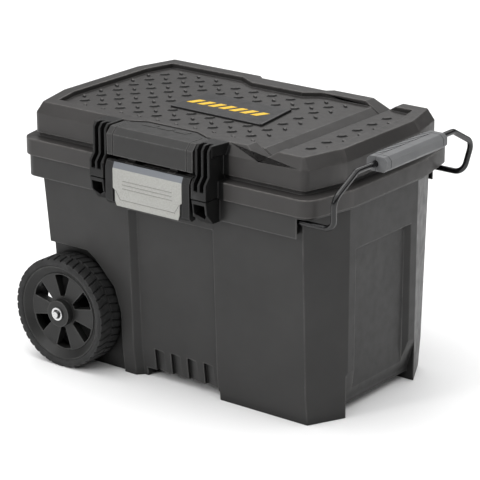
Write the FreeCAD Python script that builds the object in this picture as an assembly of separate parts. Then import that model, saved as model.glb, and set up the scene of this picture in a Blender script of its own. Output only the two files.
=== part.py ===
import FreeCAD, Part
import math
import os

# Wheeled tool chest, in millimetres. X runs along the length with the wheels at -X and the
# pull handle at +X, Y runs from the front (-Y, where the latch is) to the rear, Z is up.
# The pieces are laid out about the middle of the lid, then moved so that the origin is
# under the middle of the whole chest, on the floor.

# ---- driving dimensions ----
OVERALL_HEIGHT = 418.0
HALF_LENGTH = 291.0       # of the lid's skirt, at its bulging middle
HALF_WIDTH = 185.0        # of the lid's skirt
WALL = 3.5                # moulded wall of tub and lid
SEAM_GAP = 0.5            # between lid and tub when shut
SIDE_GAP = 0.4            # between faces that pass each other
RUNNING_FIT = 0.08        # radial, for every turning or sliding round fit
LID_HEIGHT = 84.0
WHEEL_RADIUS = 89.0
WHEEL_WIDTH = 48.0
AXLE_RADIUS = 5.0
LATCH_HALF_X = 80.0
ROD_RADIUS = 4.5
GRIP_HALF_LENGTH = 80.0

# ---- lid: corners at both ends, ends bulging between them ----
SEAM_Z = OVERALL_HEIGHT - LID_HEIGHT
LID_BOTTOM_Z = SEAM_Z + SEAM_GAP
SKIRT_HEIGHT = 27.0
SKIRT_CORNER_X = HALF_LENGTH - 18.0
SKIRT_MID_Y = HALF_WIDTH - 88.0
SKIRT_RADIUS = 25.0
SKIRT_TOP_Z = LID_BOTTOM_Z + SKIRT_HEIGHT
LEDGE_Z = SKIRT_TOP_Z + 2.0
GROOVE_HEIGHT = 6.0       # dark line between skirt and wall
GROOVE_DEPTH = 3.0
WALL_Z = LEDGE_Z + GROOVE_HEIGHT
LID_MID_X = HALF_LENGTH - 14.0
LID_CORNER_X = HALF_LENGTH - 34.0
LID_HALF_Y = HALF_WIDTH - 13.0
LID_RADIUS = 13.0
LID_TOP_INSET = 9.5       # how far the top edge stands in from the wall
CHAMFER_Z = OVERALL_HEIGHT - 17.5
TREAD_DEPTH = 8.0
PLATE_Z = OVERALL_HEIGHT - TREAD_DEPTH
CEILING_Z = PLATE_Z - WALL
FIELD_CORNER_X = LID_CORNER_X - 23.0
FIELD_MID_X = FIELD_CORNER_X + 13.0
FIELD_HALF_Y = LID_HALF_Y - 32.0
FIELD_MID_Y = SKIRT_MID_Y - 7.0
VALLEY_X = FIELD_CORNER_X - 58.5
VALLEY_HALF_X = 27.5
VALLEY_DEPTH = 17.0
SLIT_WIDTH = 3.0          # slits at the ends of the valley's slope
SLIT_DEPTH = WALL / 2
NOTCH_DEPTH = 9.0         # rear edge of the top
BADGE_CORNERS = [(-88, -47), (87, -50), (73, 45), (-88, 45)]
BADGE_THICKNESS = 3.0
BADGE_BAR = 4.0           # width and height of the bar on its right edge

# ---- tub ----
COLLAR_WALL = 2.5
COLLAR_INSET = 4.5        # collar face behind the skirt face
COLLAR_HALF_Y = HALF_WIDTH - COLLAR_INSET
STOP_RADIUS = ROD_RADIUS + 1.0
LEG_SPACE = 2 * STOP_RADIUS + 1.0
TUB_RIGHT_X = SKIRT_CORNER_X - 23.0
TUB_LEFT_X = 25.0 - SKIRT_CORNER_X
TUB_LEFT_DRAFT = 20.0
TUB_END_BULGE = 30.0
TUB_HALF_Y = COLLAR_HALF_Y - COLLAR_WALL - LEG_SPACE
TUB_KNEE_HALF_Y = TUB_HALF_Y - 10.5
TUB_FOOT_HALF_Y = TUB_HALF_Y - 16.0
TUB_MID_Y = SKIRT_MID_Y - 7.0
KNEE_Z = 45.0
COLLAR_Z = SEAM_Z - 34.0  # lower edge of the collar
COLLAR_END_X = TUB_RIGHT_X - 1.0
SHELF_Z = SEAM_Z - WALL
FOOT_HEIGHT = 14.0
FLOOR_Z = FOOT_HEIGHT + WALL
FOOT_MID_Y = TUB_HALF_Y - 74.0

# ---- wheels and axle ----
WHEEL_X = TUB_LEFT_X + 50.3
WHEEL_OUTER_Y = TUB_HALF_Y + 29.0
WELL_CLEARANCE = 4.0      # tub wall behind and beside the wheel
WELL_Y = WHEEL_OUTER_Y - WHEEL_WIDTH - WELL_CLEARANCE
WELL_RIGHT_X = WHEEL_X + WHEEL_RADIUS + WELL_CLEARANCE
TYRE_THICKNESS = 12.0
WHEEL_BAND = 15.0         # sloping band inside the tyre
SPOKES = 6
SPOKE_HUB_WIDTH = 17.5
SPOKE_RIM_WIDTH = 32.0
HUB_RADIUS = 21.5
HUB_STAND = 2.0
HUB_FACE_Y = WHEEL_OUTER_Y + HUB_STAND
WASHER_THICKNESS = 2.0
WASHER_RADIUS = AXLE_RADIUS + 5.5
NUT_HEIGHT = 2.5
AXLE_END_Y = HUB_FACE_Y + 6.5
TUNNEL_HALF_X = AXLE_RADIUS + 9.0

# ---- recesses in the tub's faces ----
PANEL_LEFT_X = WELL_RIGHT_X + 21.7
PANEL_RIGHT_X = LATCH_HALF_X + 7.0
FOOT_RIGHT_X = PANEL_RIGHT_X
FOOT_LEFT_X = PANEL_LEFT_X + 21.0
PANEL_LEFT_SLOPE = 14.0
PANEL_RIGHT_SLOPE = 6.0
PANEL_DEPTH = 10.0
PANEL_TOP_Z = SEAM_Z - 58.0
LOUVRES = 4
LOUVRE_LEFT_X = PANEL_LEFT_X + 39.0
LOUVRE_PITCH = (PANEL_RIGHT_X - LOUVRE_LEFT_X - 3.0) / LOUVRES
LOUVRE_WIDTH = LOUVRE_PITCH - 13.0
LOUVRE_DEPTH = 6.0
LOUVRE_TOP_Z = 50.0
END_PANEL_HALF_Y = TUB_HALF_Y - 88.0
END_PANEL_TOP_Z = SEAM_Z - 72.0
END_PANEL_DEPTH = 8.0
END_PANEL_SLOPE = 12.0
END_CHAMFER_Z = 72.0
END_LIP_Z = 21.0
END_CHAMFER_DEPTH = 14.0

# ---- rear hinges ----
HINGE_X = SKIRT_CORNER_X - 123.0
KNUCKLE_RADIUS = 8.0
HINGE_Y = HALF_WIDTH + KNUCKLE_RADIUS + 0.5
HINGE_Z = SEAM_Z + 11.0
KNUCKLE_WIDTH = 30.0
SIDE_KNUCKLE_WIDTH = 16.0
HINGE_PIN_RADIUS = 2.5

# ---- latch, its posts and its cover ----
FRONT_Y = HALF_WIDTH + 29.0
LATCH_FRONT_Y = FRONT_Y - 0.6
LATCH_BOTTOM_Z = SEAM_Z - 35.0
LATCH_PIVOT_Y = LATCH_FRONT_Y - 10.5
LATCH_PIVOT_Z = SEAM_Z + 29.5
LATCH_PIN_RADIUS = 1.6
LATCH_BARREL_RADIUS = 4.0
LATCH_FOLD = 10.0         # height of the plate's folded top
LATCH_PANEL = 9.0         # depth of the latch frame
LATCH_PLATE_HALF_X = LATCH_HALF_X - 14.0
LATCH_PLATE_THICKNESS = 2.0
LUG_X = LATCH_HALF_X / 2
LUG_WIDTH = 14.0
POST_INNER_X = LATCH_HALF_X + 4.0
POST_OUTER_X = LATCH_HALF_X + 31.0
POST_FRONT_Y = FRONT_Y - 9.0
POST_FLARE = 8.0          # how far the post's top spreads sideways
FIN_WIDTH = 4.6
HOUSING_BACK_Y = LID_HALF_Y - LID_TOP_INSET - 3.0
COVER_FRONT_Y = FRONT_Y - 7.0
COVER_BACK_Y = LID_HALF_Y - 4.0
COVER_WALL = 3.5
COVER_TOP_Z = OVERALL_HEIGHT - 2.0
COVER_BOTTOM_Z = SEAM_Z + 40.0
COVER_FLAP_Y = FIELD_HALF_Y + 11.0
COVER_FLAP_HALF_X = LATCH_HALF_X - 34.0
HOUSING_TOP_Z = COVER_TOP_Z - COVER_WALL - 0.5
HOUSING_FRONT_Y = COVER_FRONT_Y - COVER_WALL - 0.5
KEEPER_HALF_X = LATCH_HALF_X - 20.0
KEEPER_Z = LATCH_BOTTOM_Z + 10.0

# ---- pull handle ----
LEG_Y = TUB_HALF_Y + LEG_SPACE / 2
LEG_Z = SHELF_Z - STOP_RADIUS - 1.0
LEG_END_X = TUB_LEFT_X + 33.0
LEG_CORNER_X = HALF_LENGTH + 17.0
BAIL_X = HALF_LENGTH + 24.0
BAIL_HALF_Y = HALF_WIDTH - 2.0
BAIL_HIGH_Z = SEAM_Z + 38.0
BAIL_KINK_Y = HALF_WIDTH - 57.0
ROD_BEND = 18.0
GRIP_Z = SEAM_Z + 67.0
GRIP_WIDTH = 36.0
GRIP_HEIGHT = 23.0
GRIP_BEVEL = 6.0
GRIP_OFFSET = 2.5         # grip centre outside the rod
GRIP_LINE_Y = GRIP_HALF_LENGTH - 10.0
GRIP_LINE = 1.2           # width of the line round each end of the grip
GRIP_SCREW_PITCH = 55.0
GUIDE_LENGTH = 70.0
GUIDE_INSET = 8.0         # guide's end inside the collar's end
STOP_LENGTH = 18.0
SCREW_RADIUS = 2.0
SCREW_Z = COLLAR_Z + 9.0
SCREW_GRIP = 9.0

FAR = 400.0               # beyond every piece, for cutting tools
V = FreeCAD.Vector
X_AXIS = V(1, 0, 0)
Y_AXIS = V(0, 1, 0)


# ---- helpers ----
def box(x0, x1, y0, y1, z0, z1):
    return Part.makeBox(x1 - x0, y1 - y0, z1 - z0, V(x0, y0, z0))


def rod(start, axis, radius, length):
    return Part.makeCylinder(radius, length, start, axis)


def polygon(points):
    return Part.makePolygon(points + [points[0]])


def prism_x(points, x0, x1):
    """Solid with an outline of (y, z) points between two x planes."""
    face = Part.Face(polygon([V(x0, y, z) for y, z in points]))
    return face.extrude(V(x1 - x0, 0, 0))


def prism_y(points, y0, y1):
    """Solid with an outline of (x, z) points between two y planes."""
    face = Part.Face(polygon([V(x, y0, z) for x, z in points]))
    return face.extrude(V(0, y1 - y0, 0))


def rounded(points, radii, z):
    """Closed outline at height z with each corner rounded to its radius."""
    edges = []
    starts = []
    ends = []
    count = len(points)
    for i in range(count):
        corner = V(points[i][0], points[i][1], z)
        before = V(points[i - 1][0], points[i - 1][1], z)
        after = V(points[(i + 1) % count][0], points[(i + 1) % count][1], z)
        into = (corner - before).normalize()
        out = (after - corner).normalize()
        turn = into.getAngle(out)
        setback = radii[i] * math.tan(turn / 2)
        starts.append(corner - into * setback)
        ends.append(corner + out * setback)
        if radii[i] > 0:
            bisector = (out - into).normalize()
            middle = corner + bisector * radii[i] * (1 / math.cos(turn / 2) - 1)
            edges.append(Part.Arc(starts[i], middle, ends[i]).toShape())
        else:
            edges.append(None)
    wire = []
    for i in range(count):
        if edges[i]:
            wire.append(edges[i])
        wire.append(Part.LineSegment(ends[i], starts[(i + 1) % count]).toShape())
    return Part.Wire(wire)


def octagon(left, right, bulge, half_y, mid_y):
    """Plan of the chest: corners at left and right, ends bulging in the middle."""
    return [(left, -half_y), (right, -half_y), (right + bulge, -mid_y), (right + bulge, mid_y),
            (right, half_y), (left, half_y), (left - bulge, mid_y), (left - bulge, -mid_y)]


def plan(mid_x, corner_x, half_y, mid_y, radius, z, inset=0.0):
    """Lid outline at height z, drawn in by inset."""
    corner = corner_x - inset
    points = octagon(-corner, corner, mid_x - corner_x, half_y - inset, mid_y - inset / 2)
    bend = max(radius - inset, 2.0)
    return rounded(points, [bend, bend, 0, 0, bend, bend, 0, 0], z)


def column(wire, height):
    return Part.Face(wire).extrude(V(0, 0, height))


def loft(wires):
    return Part.makeLoft(wires, True, True)


def both_sides(shape):
    """The shape and its mirror image across the front-to-rear middle."""
    return [shape, shape.mirror(V(0, 0, 0), Y_AXIS)]


def both_ends(shape):
    return [shape, shape.mirror(V(0, 0, 0), X_AXIS)]


def cut_all(shape, tools):
    for tool in tools:
        shape = shape.cut(tool)
    return shape


def bent_rod(points, radius, bend):
    """Round rod along a path of straight runs joined by tangent arcs."""
    edges = []
    last = points[0]
    for i in range(1, len(points) - 1):
        into = (points[i] - points[i - 1]).normalize()
        out = (points[i + 1] - points[i]).normalize()
        turn = into.getAngle(out)
        setback = bend * math.tan(turn / 2)
        start = points[i] - into * setback
        end = points[i] + out * setback
        middle = points[i] + (out - into).normalize() * bend * (1 / math.cos(turn / 2) - 1)
        edges.append(Part.LineSegment(last, start).toShape())
        edges.append(Part.Arc(start, middle, end).toShape())
        last = end
    edges.append(Part.LineSegment(last, points[-1]).toShape())
    path = Part.Wire(edges)
    direction = (points[1] - points[0]).normalize()
    section = Part.Wire(Part.Circle(points[0], direction, radius).toShape())
    return path.makePipeShell([section], True, False)


def half_y_at(z):
    """Half width of the tub's outside at a height."""
    if z <= KNEE_Z:
        return TUB_FOOT_HALF_Y + (TUB_KNEE_HALF_Y - TUB_FOOT_HALF_Y) * z / KNEE_Z
    share = min((z - KNEE_Z) / (COLLAR_Z - KNEE_Z), 1.0)
    return TUB_KNEE_HALF_Y + (TUB_HALF_Y - TUB_KNEE_HALF_Y) * share


def left_x_at(z):
    """Left corner of the tub's outside at a height."""
    return TUB_LEFT_X + TUB_LEFT_DRAFT * (1 - min(z / COLLAR_Z, 1.0))


# ---- tub ----
def tub_section(z, inset):
    points = octagon(left_x_at(z) + inset, TUB_RIGHT_X - inset, TUB_END_BULGE,
                     half_y_at(z) - inset, TUB_MID_Y - inset / 2)
    return polygon([V(x, y, z) for x, y in points])


def face_cut(left, right, left_slope, right_slope, depth, z):
    """Section at height z of a cut into the front face that narrows as it deepens."""
    face_y = half_y_at(z)
    deep = face_y - depth
    return polygon([V(left, -face_y - 5, z), V(right, -face_y - 5, z),
                    V(right - right_slope, -deep, z), V(left + left_slope, -deep, z)])


def panel_recess(inset):
    """Recessed middle panel of the front face, grown by inset on every side."""
    levels = [-1.0, KNEE_Z, PANEL_TOP_Z + inset]
    return loft([face_cut(PANEL_LEFT_X - inset, PANEL_RIGHT_X + inset, PANEL_LEFT_SLOPE,
                          PANEL_RIGHT_SLOPE, PANEL_DEPTH + inset, z) for z in levels])


def louvre(index, inset):
    """Wedge-shaped flute at the foot of the panel: deep on the left, flush on the right."""
    left = LOUVRE_LEFT_X + LOUVRE_PITCH * index - inset
    right = left + LOUVRE_WIDTH + 2 * inset
    sections = []
    for z in (-1.0, KNEE_Z, LOUVRE_TOP_Z + inset):
        flush = half_y_at(z) - PANEL_DEPTH
        sections.append(polygon([V(left, -flush - 3, z), V(right, -flush - 3, z),
                                 V(right, -flush + inset, z),
                                 V(left, -flush + LOUVRE_DEPTH + inset, z)]))
    return loft(sections)


def louvres(inset):
    return [louvre(i, inset) for i in range(LOUVRES)]


def end_recess(inset):
    """Recessed middle panel of the handle end."""
    outer = TUB_RIGHT_X + TUB_END_BULGE
    half = END_PANEL_HALF_Y + inset
    deep = outer - END_PANEL_DEPTH - inset
    slope = END_PANEL_SLOPE
    points = [(outer + 5, -half), (deep, -half + slope), (deep, half - slope), (outer + 5, half)]
    return column(polygon([V(x, y, -1.0) for x, y in points]), END_PANEL_TOP_Z + inset + 1.0)


def end_chamfer(inset):
    """Sloping lower edge of the handle end, between the feet."""
    outer = TUB_RIGHT_X + TUB_END_BULGE
    deep = outer - END_CHAMFER_DEPTH - inset
    top = END_CHAMFER_Z + inset
    half = FOOT_MID_Y + inset
    points = [(outer - inset, top), (outer + 5, top), (outer + 5, -1), (deep, -1),
              (deep, END_LIP_Z)]
    return prism_y(points, -half, half)


def wheel_well(inset):
    """Space for the front wheel, open to the wheel end and below."""
    top = 2 * WHEEL_RADIUS + 13 + inset
    right = WELL_RIGHT_X + inset
    far = left_x_at(0) - 90
    points = [(far, -1), (far, top), (right - 60, top), (right - 44, top - 11),
              (right - 8, top - 50), (right + 3, top - 88), (right + 3, -1)]
    return prism_y(points, -WELL_Y + inset, -TUB_HALF_Y - 40)


def axle_tunnel(inset):
    half = TUNNEL_HALF_X + inset
    length = WELL_Y - 25 + inset
    return box(WHEEL_X - half, WHEEL_X + half, -length, length,
               -1, WHEEL_RADIUS + TUNNEL_HALF_X + inset)


def collar():
    """Shelf round the tub's top, with a hanging band that hides the handle's legs."""
    def ring(z, height, inset):
        wire = plan(HALF_LENGTH, SKIRT_CORNER_X, HALF_WIDTH, SKIRT_MID_Y, SKIRT_RADIUS,
                    z, COLLAR_INSET + inset)
        return column(wire, height)
    shelf = ring(SHELF_Z, WALL, 0)
    band = ring(COLLAR_Z, SEAM_Z - COLLAR_Z, 0)
    band = band.cut(ring(COLLAR_Z - 1, SHELF_Z - COLLAR_Z + 1, COLLAR_WALL))
    band = band.cut(box(COLLAR_END_X, FAR, -FAR, FAR, COLLAR_Z - 1, SHELF_Z))
    return shelf.fuse(band)


def latch_bracket():
    """Block on the collar that carries on the line of the lid's right post."""
    face = FRONT_Y
    top = SEAM_Z + 2.0
    back = COLLAR_HALF_Y - 1
    clear = HALF_WIDTH + 2 * SIDE_GAP
    profile = [(-back, SEAM_Z), (-clear, SEAM_Z), (-clear, top), (-face, top), (-face + 1, top - 6),
               (-face + 3, top - 20), (-face + 18, COLLAR_Z - 1), (-back, COLLAR_Z - 1)]
    block = prism_x(profile, POST_INNER_X, POST_OUTER_X)
    inner = POST_INNER_X + 3
    outer = POST_OUTER_X - 4
    middle = (inner + outer) / 2
    pocket = prism_y([(inner, top - 6), (outer, top - 6), (outer, top - 22),
                      (middle + 3, top - 30), (inner, top - 22)], -face - 5, -COLLAR_HALF_Y - 6)
    return block.cut(pocket)


def latch_keeper():
    """Ledge on the collar that the latch's lip closes in front of."""
    front = LATCH_FRONT_Y - 16.0
    back = COLLAR_HALF_Y - 1
    profile = [(-back, KEEPER_Z + 9), (-front, KEEPER_Z + 5), (-front, KEEPER_Z), (-back, KEEPER_Z)]
    return prism_x(profile, -KEEPER_HALF_X, KEEPER_HALF_X)


def tub_hinge_knuckle():
    """Middle knuckle of one rear hinge, with the gusset that carries it."""
    half = KNUCKLE_WIDTH / 2
    start = V(HINGE_X - half, HINGE_Y, HINGE_Z)
    knuckle = rod(start, X_AXIS, KNUCKLE_RADIUS, KNUCKLE_WIDTH)
    inner = HALF_WIDTH + 0.8
    outer = HINGE_Y + KNUCKLE_RADIUS
    wall = COLLAR_HALF_Y - 1
    gusset = prism_x([(wall, COLLAR_Z + 2), (wall, SEAM_Z), (inner, SEAM_Z), (inner, HINGE_Z),
                      (outer, HINGE_Z), (outer, HINGE_Z - 14)], HINGE_X - half, HINGE_X + half)
    arm = knuckle.fuse(gusset)
    return arm.cut(rod(start, X_AXIS, HINGE_PIN_RADIUS, KNUCKLE_WIDTH))


def guide_screw_places():
    """Where the four screws of the handle guides stand, front side."""
    middle = COLLAR_END_X - GUIDE_INSET - GUIDE_LENGTH / 2
    return [middle - GUIDE_LENGTH / 4, middle + GUIDE_LENGTH / 4]


def tub():
    levels = [0.0, KNEE_Z, COLLAR_Z, SEAM_Z]
    outside = loft([tub_section(z, 0) for z in levels])
    inside_levels = [FLOOR_Z, KNEE_Z, COLLAR_Z, SEAM_Z + 1]
    cavity = loft([tub_section(z, WALL) for z in inside_levels])
    outside = cut_all(outside, both_sides(wheel_well(0)) + both_sides(panel_recess(0)))
    outside = cut_all(outside, [end_recess(0), end_chamfer(0)] + louvres(0))
    cavity = cut_all(cavity, both_sides(wheel_well(WALL)) + both_sides(panel_recess(WALL)))
    cavity = cut_all(cavity, [end_recess(WALL), end_chamfer(WALL), axle_tunnel(WALL)])
    cavity = cut_all(cavity, louvres(WALL))
    under = [box(FOOT_LEFT_X, FOOT_RIGHT_X, -FAR, FAR, -1, FOOT_HEIGHT),
             box(-FAR, FAR, -FOOT_MID_Y, FOOT_MID_Y, -1, FOOT_HEIGHT), axle_tunnel(0)]
    body = outside.fuse(collar())
    body = cut_all(body, [cavity] + under)
    body = body.fuse(both_ends(latch_bracket()) + [latch_keeper()] + both_ends(tub_hinge_knuckle()))
    axle_hole = rod(V(WHEEL_X, -WELL_Y - 1, WHEEL_RADIUS), Y_AXIS, AXLE_RADIUS, 2 * WELL_Y + 2)
    body = body.cut(axle_hole)
    for x in guide_screw_places():
        hole = rod(V(x, -TUB_HALF_Y - 1, SCREW_Z), Y_AXIS, SCREW_RADIUS, WALL + 2)
        body = cut_all(body, both_sides(hole))
    return body.removeSplitter()


# ---- lid ----
def lid_plan(z, inset=0.0):
    return plan(LID_MID_X, LID_CORNER_X, LID_HALF_Y, SKIRT_MID_Y - 2, LID_RADIUS, z, inset)


def skirt_plan(z, inset=0.0):
    return plan(HALF_LENGTH, SKIRT_CORNER_X, HALF_WIDTH, SKIRT_MID_Y, SKIRT_RADIUS, z, inset)


def valley(inset):
    """V-shaped valley that crosses the lid from front to rear."""
    top = OVERALL_HEIGHT + 1
    low = OVERALL_HEIGHT - VALLEY_DEPTH - inset
    half = VALLEY_HALF_X * (1 + 1 / VALLEY_DEPTH) + inset
    points = [(VALLEY_X - half, top), (VALLEY_X - 1, low), (VALLEY_X + 1, low),
              (VALLEY_X + half, top)]
    return prism_y(points, -LID_HALF_Y - 5, LID_HALF_Y + 5)


def valley_slit():
    """Blind slit where the valley's left slope meets the front border."""
    place = box(VALLEY_X - VALLEY_HALF_X + 6, VALLEY_X, -FIELD_HALF_Y, -FIELD_HALF_Y + SLIT_WIDTH,
                0, OVERALL_HEIGHT)
    return place.common(valley(SLIT_DEPTH))


def tread_recess():
    """Sunk field of the tread plate, narrowed at the rear middle."""
    points = octagon(-FIELD_CORNER_X, FIELD_CORNER_X, FIELD_MID_X - FIELD_CORNER_X, FIELD_HALF_Y,
                     FIELD_MID_Y)
    field = column(polygon([V(x, y, PLATE_Z) for x, y in points]), TREAD_DEPTH + 1)
    rear = FIELD_HALF_Y
    block = column(polygon([V(-98, rear + 5, PLATE_Z - 1), V(-60, rear - 18, PLATE_Z - 1),
                            V(40, rear - 18, PLATE_Z - 1), V(74, rear + 5, PLATE_Z - 1)]),
                   TREAD_DEPTH + 3)
    return field.cut(block)


def cover_outline(grow):
    """Plan of the latch cover's top, a trapezium that runs back into the border."""
    half = LATCH_HALF_X + 1.5 + grow
    inner = COVER_FLAP_HALF_X + grow
    flap = COVER_FLAP_Y - grow
    return [(-half, -COVER_BACK_Y), (-inner, -flap), (inner, -flap), (half, -COVER_BACK_Y)]


def latch_housing():
    """Shell on the lid's front that the latch cover clips over."""
    front = HOUSING_FRONT_Y
    top = HOUSING_TOP_Z
    inner = HOUSING_BACK_Y
    slope = 8.0
    profile = [(-inner, top), (-front + slope, top), (-front, top - slope), (-front, COVER_BOTTOM_Z + 1),
               (-front + WALL, COVER_BOTTOM_Z + 1), (-front + WALL, top - slope - 1),
               (-front + slope + 1, top - WALL), (-inner, top - WALL)]
    return prism_x(profile, -POST_INNER_X, POST_INNER_X)


def latch_post():
    """Right-hand post: three fins with slots between them on a solid foot."""
    low = SEAM_Z + 3.0
    front = FRONT_Y
    back = HOUSING_BACK_Y
    top = OVERALL_HEIGHT
    profile = [(-back, low), (-front, low), (-front, low + 24), (-POST_FRONT_Y, low + 35),
               (-POST_FRONT_Y, top - 7), (-POST_FRONT_Y + 6, top), (-back, top)]
    post = prism_x(profile, POST_INNER_X, POST_OUTER_X)
    wedge = prism_x([(-back, CHAMFER_Z), (-back, top), (-POST_FRONT_Y + 6, top),
                     (-POST_FRONT_Y + 6, CHAMFER_Z)], POST_OUTER_X - 1,
                    POST_OUTER_X + POST_FLARE)
    side = column(polygon([V(POST_OUTER_X, -POST_FRONT_Y - 20, low - 1),
                           V(POST_OUTER_X + 30, -POST_FRONT_Y - 20, low - 1),
                           V(POST_OUTER_X + 30, -back - 1, low - 1),
                           V(POST_OUTER_X + POST_FLARE - 2, -back - 1, low - 1),
                           V(POST_OUTER_X, -POST_FRONT_Y + 2, low - 1)]), top)
    post = post.fuse(wedge.cut(side))
    width = (POST_OUTER_X - POST_INNER_X - 3 * FIN_WIDTH) / 2
    slots = []
    for i in range(2):
        left = POST_INNER_X + FIN_WIDTH + i * (width + FIN_WIDTH)
        slots.append(box(left, left + width, -front - 1, -front + 26, low + 13, top + 1))
    return cut_all(post, slots)


def latch_lug():
    """Lug under the housing that carries the latch pin."""
    left = LUG_X - LUG_WIDTH / 2
    right = LUG_X + LUG_WIDTH / 2
    eye = rod(V(left, -LATCH_PIVOT_Y, LATCH_PIVOT_Z), X_AXIS, LATCH_BARREL_RADIUS, LUG_WIDTH)
    near = -LATCH_PIVOT_Y + LATCH_BARREL_RADIUS
    low = LATCH_PIVOT_Z - LATCH_BARREL_RADIUS
    high = COVER_BOTTOM_Z + 6
    root = -HOUSING_FRONT_Y + WALL - 1
    stem = prism_x([(-LATCH_PIVOT_Y, low), (near + WALL, low), (near + WALL, high),
                    (root, high), (root, COVER_BOTTOM_Z + 1), (near, COVER_BOTTOM_Z),
                    (near, LATCH_PIVOT_Z), (-LATCH_PIVOT_Y, LATCH_PIVOT_Z)], left, right)
    return eye.fuse(stem)


def lid_hinge_knuckles():
    """Pair of side knuckles of one rear hinge, on arms from the skirt."""
    pieces = []
    for side in (-1, 1):
        inner = HINGE_X + side * (KNUCKLE_WIDTH / 2 + SIDE_GAP)
        left = min(inner, inner + side * SIDE_KNUCKLE_WIDTH)
        right = left + SIDE_KNUCKLE_WIDTH
        knuckle = rod(V(left, HINGE_Y, HINGE_Z), X_AXIS, KNUCKLE_RADIUS, SIDE_KNUCKLE_WIDTH)
        arm = box(left, right, HALF_WIDTH - 1, HINGE_Y, LID_BOTTOM_Z + 2.5, HINGE_Z + KNUCKLE_RADIUS)
        piece = knuckle.fuse(arm)
        pieces.append(piece.cut(rod(V(left, HINGE_Y, HINGE_Z), X_AXIS,
                                    HINGE_PIN_RADIUS + RUNNING_FIT, SIDE_KNUCKLE_WIDTH)))
    return pieces


def rear_notch():
    """Shallow cut in the rear edge of the lid's top."""
    rear = LID_HALF_Y - LID_TOP_INSET
    deep = rear - NOTCH_DEPTH
    points = [(-85, rear + 12), (-60, deep), (64, deep), (87, rear + 12)]
    return column(polygon([V(x, y, PLATE_Z) for x, y in points]), TREAD_DEPTH + 1)


def lid():
    skirt = column(skirt_plan(LID_BOTTOM_Z), SKIRT_HEIGHT)
    ledge = loft([skirt_plan(SKIRT_TOP_Z), lid_plan(LEDGE_Z)])
    neck = column(lid_plan(LEDGE_Z - 1, GROOVE_DEPTH), GROOVE_HEIGHT + 2)
    wall = column(lid_plan(WALL_Z), CHAMFER_Z - WALL_Z)
    crown = loft([lid_plan(CHAMFER_Z), lid_plan(OVERALL_HEIGHT, LID_TOP_INSET)])
    body = skirt.fuse([ledge, neck, wall, crown])
    low_cavity = column(skirt_plan(LID_BOTTOM_Z - 1, WALL), SKIRT_HEIGHT - WALL + 3)
    high_cavity = column(lid_plan(LID_BOTTOM_Z, WALL + GROOVE_DEPTH), CEILING_Z - LID_BOTTOM_Z)
    cavity = low_cavity.fuse(high_cavity).cut(valley(WALL))
    body = body.fuse(both_ends(latch_post()) + [latch_housing()] + both_ends(latch_lug()))
    pocket = column(polygon([V(x, y, HOUSING_TOP_Z) for x, y in cover_outline(SIDE_GAP)]), 10)
    body = cut_all(body, [cavity, valley(0), tread_recess(), rear_notch(), pocket])
    body = cut_all(body, both_sides(valley_slit()))
    body = body.fuse([piece for pair in lid_hinge_knuckles() for piece in both_ends(pair)])
    return body.cut(latch_pin()).removeSplitter()


def latch_cover():
    """Front cover above the latch, with a flap that lies in the lid's border."""
    top = COVER_TOP_Z
    half = LATCH_HALF_X + 1.5
    front = COVER_FRONT_Y
    back = COVER_BACK_Y
    slope = 10.0
    thick = COVER_WALL
    profile = [(-back, top), (-front + slope, top), (-front, top - slope), (-front, COVER_BOTTOM_Z),
               (-front + thick, COVER_BOTTOM_Z), (-front + thick, top - slope - 1.5),
               (-front + slope + 1.5, top - thick), (-back, top - thick)]
    shell = prism_x(profile, -half, half)
    flap = column(polygon([V(x, y, top - thick) for x, y in cover_outline(0)]), thick)
    cover = shell.fuse(flap)
    for piece in both_ends(box(half - 12, half - 11, -front - 1, -back, COVER_BOTTOM_Z - 1, top + 1)):
        groove = piece.common(shell).cut(shell_core(top, front, back, slope))
        cover = cover.cut(groove)
    return cover.removeSplitter()


def shell_core(top, front, back, slope):
    """Everything deeper than 1 mm under the cover's outer skin."""
    skin = 1.0
    profile = [(-back + 1, top - skin), (-front + slope + skin / 2, top - skin),
               (-front + skin, top - slope - skin / 2), (-front + skin, COVER_BOTTOM_Z - 2),
               (-back + 1, COVER_BOTTOM_Z - 2)]
    return prism_x(profile, -200, 200)


def badge_plate():
    """Raised plate in the middle of the tread field, with a bar along its right edge."""
    plate = column(polygon([V(x, y, PLATE_Z) for x, y in BADGE_CORNERS]), BADGE_THICKNESS)
    low, high = BADGE_CORNERS[1], BADGE_CORNERS[2]
    inner, outer = -1, BADGE_BAR - 1
    bar = column(polygon([V(low[0] + inner, low[1], PLATE_Z), V(low[0] + outer, low[1], PLATE_Z),
                          V(high[0] + outer, high[1], PLATE_Z),
                          V(high[0] + inner, high[1], PLATE_Z)]), BADGE_BAR)
    return plate.fuse(bar).removeSplitter()


# ---- latch ----
def latch_plate_profile():
    """Side view of the metal plate: flat, then folded back along its top."""
    front = LATCH_FRONT_Y
    deep = front - LATCH_PLATE_THICKNESS
    top = LATCH_PIVOT_Z + LATCH_BARREL_RADIUS - 1.5
    fold = top - LATCH_FOLD
    lean = 0.42 * LATCH_FOLD
    return [(-front, LATCH_BOTTOM_Z), (-front, fold), (-front + lean, top),
            (-deep + lean, top - 0.5), (-deep, fold - 0.5), (-deep, LATCH_BOTTOM_Z)]


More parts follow.
